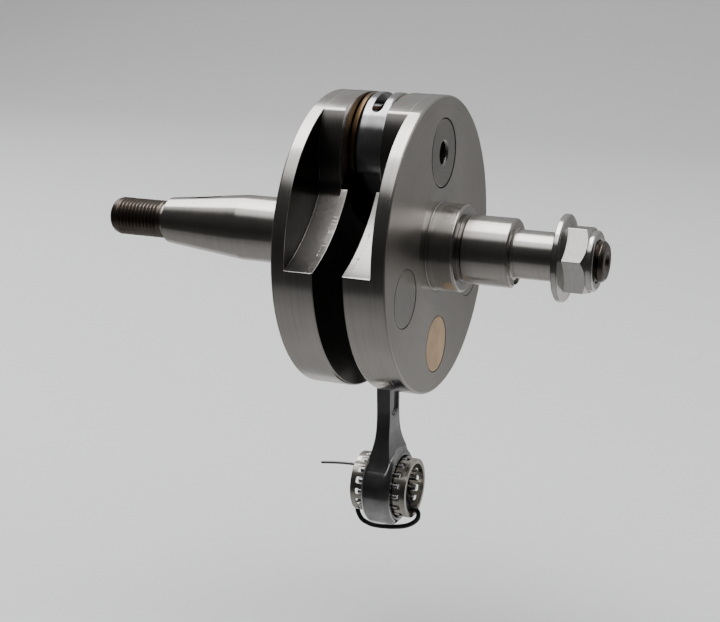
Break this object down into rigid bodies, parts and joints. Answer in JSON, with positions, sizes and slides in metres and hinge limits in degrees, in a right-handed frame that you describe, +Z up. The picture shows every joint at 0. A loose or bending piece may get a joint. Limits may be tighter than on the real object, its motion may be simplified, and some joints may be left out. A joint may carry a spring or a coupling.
{
  "type": "crankshaft with connecting rod",
  "caption": "Pressed-together single-cylinder two-stroke crankshaft with full round webs, connecting rod, needle bearings and flange nut.",
  "frame": {"origin": "on the crank's turning axis, midway between the two webs", "axes": "+X along the crank's turning axis towards the drive side with the nut; +Z up, with the connecting rod hanging down and the crankpin leaning 4.5 degrees from +Z towards +Y"},
  "size_m": [0.1585, 0.087, 0.1371],
  "materials": {
    "ground_steel": "ground and fine-turned, with a light film of oil",
    "pin_steel": "ground",
    "steel_plug": "faced flush with the web",
    "tan_plug": "matt, faced flush with the web",
    "nut_steel": "bright plated",
    "rod_steel": "glossy, dark, polished after forging",
    "cage_copper": "copper plated",
    "washer_bronze": "bronze, fine ground",
    "roller_steel": "polished",
    "cage_silver": "silver plated, satin",
    "wire_cover": "black plastic cover, satin",
    "wire_core": "bare tinned wire"
  },
  "bodies": {
    "crank": {"flywheel_side_crank_half": "ground_steel", "drive_side_crank_half": "ground_steel", "crankpin": "pin_steel", "flange_nut": "nut_steel", "flywheel_side_balance_plug_rear": "steel_plug", "flywheel_side_balance_plug_middle": "tan_plug", "flywheel_side_balance_plug_front": "steel_plug", "drive_side_balance_plug_rear": "steel_plug", "drive_side_balance_plug_middle": "tan_plug", "drive_side_balance_plug_front": "steel_plug"},
    "rod": {"connecting_rod": "rod_steel", "small_end_retaining_wire": "wire_cover", "retaining_wire_bare_end": "wire_core"},
    "big_end_cage": {"big_end_cage": "cage_copper"},
    "flywheel_side_washer": {"flywheel_side_thrust_washer": "washer_bronze"},
    "drive_side_washer": {"drive_side_thrust_washer": "washer_bronze"},
    "big_end_roller_01": {"big_end_roller_01": "roller_steel"},
    "big_end_roller_02": {"big_end_roller_02": "roller_steel"},
    "big_end_roller_03": {"big_end_roller_03": "roller_steel"},
    "big_end_roller_04": {"big_end_roller_04": "roller_steel"},
    "big_end_roller_05": {"big_end_roller_05": "roller_steel"},
    "big_end_roller_06": {"big_end_roller_06": "roller_steel"},
    "big_end_roller_07": {"big_end_roller_07": "roller_steel"},
    "big_end_roller_08": {"big_end_roller_08": "roller_steel"},
    "big_end_roller_09": {"big_end_roller_09": "roller_steel"},
    "big_end_roller_10": {"big_end_roller_10": "roller_steel"},
    "big_end_roller_11": {"big_end_roller_11": "roller_steel"},
    "big_end_roller_12": {"big_end_roller_12": "roller_steel"},
    "big_end_roller_13": {"big_end_roller_13": "roller_steel"},
    "big_end_roller_14": {"big_end_roller_14": "roller_steel"},
    "small_end_cage": {"small_end_cage": "cage_silver"},
    "small_end_roller_01": {"small_end_roller_01": "roller_steel"},
    "small_end_roller_02": {"small_end_roller_02": "roller_steel"},
    "small_end_roller_03": {"small_end_roller_03": "roller_steel"},
    "small_end_roller_04": {"small_end_roller_04": "roller_steel"},
    "small_end_roller_05": {"small_end_roller_05": "roller_steel"},
    "small_end_roller_06": {"small_end_roller_06": "roller_steel"},
    "small_end_roller_07": {"small_end_roller_07": "roller_steel"},
    "small_end_roller_08": {"small_end_roller_08": "roller_steel"},
    "small_end_roller_09": {"small_end_roller_09": "roller_steel"},
    "small_end_roller_10": {"small_end_roller_10": "roller_steel"},
    "small_end_roller_11": {"small_end_roller_11": "roller_steel"},
    "small_end_roller_12": {"small_end_roller_12": "roller_steel"},
    "small_end_roller_13": {"small_end_roller_13": "roller_steel"},
    "small_end_roller_14": {"small_end_roller_14": "roller_steel"},
    "small_end_roller_15": {"small_end_roller_15": "roller_steel"},
    "small_end_roller_16": {"small_end_roller_16": "roller_steel"}
  },
  "joints": [
    {"name": "rod_swing", "type": "hinge", "parent": "crank", "child": "rod", "pos_m": [0, 0.00212, 0.02692], "axis": [1, 0, 0], "continuous": true},
    {"name": "big_end_cage_turn", "type": "hinge", "parent": "crank", "child": "big_end_cage", "pos_m": [0, 0.00212, 0.02692], "axis": [1, 0, 0], "continuous": true},
    {"name": "flywheel_side_washer_turn", "type": "hinge", "parent": "crank", "child": "flywheel_side_washer", "pos_m": [0, 0.00212, 0.02692], "axis": [1, 0, 0], "continuous": true},
    {"name": "drive_side_washer_turn", "type": "hinge", "parent": "crank", "child": "drive_side_washer", "pos_m": [0, 0.00212, 0.02692], "axis": [1, 0, 0], "continuous": true},
    {"name": "big_end_roller_01_roll", "type": "hinge", "parent": "big_end_cage", "child": "big_end_roller_01", "pos_m": [0, 0.00212, 0.03842], "axis": [1, 0, 0], "continuous": true},
    {"name": "big_end_roller_02_roll", "type": "hinge", "parent": "big_end_cage", "child": "big_end_roller_02", "pos_m": [0, -0.00287, 0.03728], "axis": [1, 0, 0], "continuous": true},
    {"name": "big_end_roller_03_roll", "type": "hinge", "parent": "big_end_cage", "child": "big_end_roller_03", "pos_m": [0, -0.00687, 0.03409], "axis": [1, 0, 0], "continuous": true},
    {"name": "big_end_roller_04_roll", "type": "hinge", "parent": "big_end_cage", "child": "big_end_roller_04", "pos_m": [0, -0.00909, 0.02948], "axis": [1, 0, 0], "continuous": true},
    {"name": "big_end_roller_05_roll", "type": "hinge", "parent": "big_end_cage", "child": "big_end_roller_05", "pos_m": [0, -0.00909, 0.02436], "axis": [1, 0, 0], "continuous": true},
    {"name": "big_end_roller_06_roll", "type": "hinge", "parent": "big_end_cage", "child": "big_end_roller_06", "pos_m": [0, -0.00687, 0.01975], "axis": [1, 0, 0], "continuous": true},
    {"name": "big_end_roller_07_roll", "type": "hinge", "parent": "big_end_cage", "child": "big_end_roller_07", "pos_m": [0, -0.00287, 0.01656], "axis": [1, 0, 0], "continuous": true},
    {"name": "big_end_roller_08_roll", "type": "hinge", "parent": "big_end_cage", "child": "big_end_roller_08", "pos_m": [0, 0.00212, 0.01542], "axis": [1, 0, 0], "continuous": true},
    {"name": "big_end_roller_09_roll", "type": "hinge", "parent": "big_end_cage", "child": "big_end_roller_09", "pos_m": [0, 0.00711, 0.01656], "axis": [1, 0, 0], "continuous": true},
    {"name": "big_end_roller_10_roll", "type": "hinge", "parent": "big_end_cage", "child": "big_end_roller_10", "pos_m": [0, 0.01111, 0.01975], "axis": [1, 0, 0], "continuous": true},
    {"name": "big_end_roller_11_roll", "type": "hinge", "parent": "big_end_cage", "child": "big_end_roller_11", "pos_m": [0, 0.01333, 0.02436], "axis": [1, 0, 0], "continuous": true},
    {"name": "big_end_roller_12_roll", "type": "hinge", "parent": "big_end_cage", "child": "big_end_roller_12", "pos_m": [0, 0.01333, 0.02948], "axis": [1, 0, 0], "continuous": true},
    {"name": "big_end_roller_13_roll", "type": "hinge", "parent": "big_end_cage", "child": "big_end_roller_13", "pos_m": [0, 0.01111, 0.03409], "axis": [1, 0, 0], "continuous": true},
    {"name": "big_end_roller_14_roll", "type": "hinge", "parent": "big_end_cage", "child": "big_end_roller_14", "pos_m": [0, 0.00711, 0.03728], "axis": [1, 0, 0], "continuous": true},
    {"name": "small_end_cage_turn", "type": "hinge", "parent": "rod", "child": "small_end_cage", "pos_m": [0, 0.00212, -0.07808], "axis": [1, 0, 0], "continuous": true},
    {"name": "small_end_roller_01_roll", "type": "hinge", "parent": "small_end_cage", "child": "small_end_roller_01", "pos_m": [0, 0.00212, -0.06958], "axis": [1, 0, 0], "continuous": true},
    {"name": "small_end_roller_02_roll", "type": "hinge", "parent": "small_end_cage", "child": "small_end_roller_02", "pos_m": [0, -0.00113, -0.07023], "axis": [1, 0, 0], "continuous": true},
    {"name": "small_end_roller_03_roll", "type": "hinge", "parent": "small_end_cage", "child": "small_end_roller_03", "pos_m": [0, -0.00389, -0.07207], "axis": [1, 0, 0], "continuous": true},
    {"name": "small_end_roller_04_roll", "type": "hinge", "parent": "small_end_cage", "child": "small_end_roller_04", "pos_m": [0, -0.00573, -0.07483], "axis": [1, 0, 0], "continuous": true},
    {"name": "small_end_roller_05_roll", "type": "hinge", "parent": "small_end_cage", "child": "small_end_roller_05", "pos_m": [0, -0.00638, -0.07808], "axis": [1, 0, 0], "continuous": true},
    {"name": "small_end_roller_06_roll", "type": "hinge", "parent": "small_end_cage", "child": "small_end_roller_06", "pos_m": [0, -0.00573, -0.08134], "axis": [1, 0, 0], "continuous": true},
    {"name": "small_end_roller_07_roll", "type": "hinge", "parent": "small_end_cage", "child": "small_end_roller_07", "pos_m": [0, -0.00389, -0.08409], "axis": [1, 0, 0], "continuous": true},
    {"name": "small_end_roller_08_roll", "type": "hinge", "parent": "small_end_cage", "child": "small_end_roller_08", "pos_m": [0, -0.00113, -0.08594], "axis": [1, 0, 0], "continuous": true},
    {"name": "small_end_roller_09_roll", "type": "hinge", "parent": "small_end_cage", "child": "small_end_roller_09", "pos_m": [0, 0.00212, -0.08658], "axis": [1, 0, 0], "continuous": true},
    {"name": "small_end_roller_10_roll", "type": "hinge", "parent": "small_end_cage", "child": "small_end_roller_10", "pos_m": [0, 0.00537, -0.08594], "axis": [1, 0, 0], "continuous": true},
    {"name": "small_end_roller_11_roll", "type": "hinge", "parent": "small_end_cage", "child": "small_end_roller_11", "pos_m": [0, 0.00813, -0.08409], "axis": [1, 0, 0], "continuous": true},
    {"name": "small_end_roller_12_roll", "type": "hinge", "parent": "small_end_cage", "child": "small_end_roller_12", "pos_m": [0, 0.00997, -0.08134], "axis": [1, 0, 0], "continuous": true},
    {"name": "small_end_roller_13_roll", "type": "hinge", "parent": "small_end_cage", "child": "small_end_roller_13", "pos_m": [0, 0.01062, -0.07808], "axis": [1, 0, 0], "continuous": true},
    {"name": "small_end_roller_14_roll", "type": "hinge", "parent": "small_end_cage", "child": "small_end_roller_14", "pos_m": [0, 0.00997, -0.07483], "axis": [1, 0, 0], "continuous": true},
    {"name": "small_end_roller_15_roll", "type": "hinge", "parent": "small_end_cage", "child": "small_end_roller_15", "pos_m": [0, 0.00813, -0.07207], "axis": [1, 0, 0], "continuous": true},
    {"name": "small_end_roller_16_roll", "type": "hinge", "parent": "small_end_cage", "child": "small_end_roller_16", "pos_m": [0, 0.00537, -0.07023], "axis": [1, 0, 0], "continuous": true}
  ],
  "couplings": [
    {"joint": "big_end_cage_turn", "follows": "rod_swing", "ratio": 0.56522},
    {"joint": "flywheel_side_washer_turn", "follows": "rod_swing", "ratio": 0.5},
    {"joint": "drive_side_washer_turn", "follows": "rod_swing", "ratio": 0.5},
    {"joint": "big_end_roller_01_roll", "follows": "rod_swing", "ratio": 3.7681},
    {"joint": "big_end_roller_02_roll", "follows": "rod_swing", "ratio": 3.7681},
    {"joint": "big_end_roller_03_roll", "follows": "rod_swing", "ratio": 3.7681},
    {"joint": "big_end_roller_04_roll", "follows": "rod_swing", "ratio": 3.7681},
    {"joint": "big_end_roller_05_roll", "follows": "rod_swing", "ratio": 3.7681},
    {"joint": "big_end_roller_06_roll", "follows": "rod_swing", "ratio": 3.7681},
    {"joint": "big_end_roller_07_roll", "follows": "rod_swing", "ratio": 3.7681},
    {"joint": "big_end_roller_08_roll", "follows": "rod_swing", "ratio": 3.7681},
    {"joint": "big_end_roller_09_roll", "follows": "rod_swing", "ratio": 3.7681},
    {"joint": "big_end_roller_10_roll", "follows": "rod_swing", "ratio": 3.7681},
    {"joint": "big_end_roller_11_roll", "follows": "rod_swing", "ratio": 3.7681},
    {"joint": "big_end_roller_12_roll", "follows": "rod_swing", "ratio": 3.7681},
    {"joint": "big_end_roller_13_roll", "follows": "rod_swing", "ratio": 3.7681},
    {"joint": "big_end_roller_14_roll", "follows": "rod_swing", "ratio": 3.7681},
    {"joint": "small_end_roller_01_roll", "follows": "small_end_cage_turn", "ratio": -9.5},
    {"joint": "small_end_roller_02_roll", "follows": "small_end_cage_turn", "ratio": -9.5},
    {"joint": "small_end_roller_03_roll", "follows": "small_end_cage_turn", "ratio": -9.5},
    {"joint": "small_end_roller_04_roll", "follows": "small_end_cage_turn", "ratio": -9.5},
    {"joint": "small_end_roller_05_roll", "follows": "small_end_cage_turn", "ratio": -9.5},
    {"joint": "small_end_roller_06_roll", "follows": "small_end_cage_turn", "ratio": -9.5},
    {"joint": "small_end_roller_07_roll", "follows": "small_end_cage_turn", "ratio": -9.5},
    {"joint": "small_end_roller_08_roll", "follows": "small_end_cage_turn", "ratio": -9.5},
    {"joint": "small_end_roller_09_roll", "follows": "small_end_cage_turn", "ratio": -9.5},
    {"joint": "small_end_roller_10_roll", "follows": "small_end_cage_turn", "ratio": -9.5},
    {"joint": "small_end_roller_11_roll", "follows": "small_end_cage_turn", "ratio": -9.5},
    {"joint": "small_end_roller_12_roll", "follows": "small_end_cage_turn", "ratio": -9.5},
    {"joint": "small_end_roller_13_roll", "follows": "small_end_cage_turn", "ratio": -9.5},
    {"joint": "small_end_roller_14_roll", "follows": "small_end_cage_turn", "ratio": -9.5},
    {"joint": "small_end_roller_15_roll", "follows": "small_end_cage_turn", "ratio": -9.5},
    {"joint": "small_end_roller_16_roll", "follows": "small_end_cage_turn", "ratio": -9.5}
  ]
}
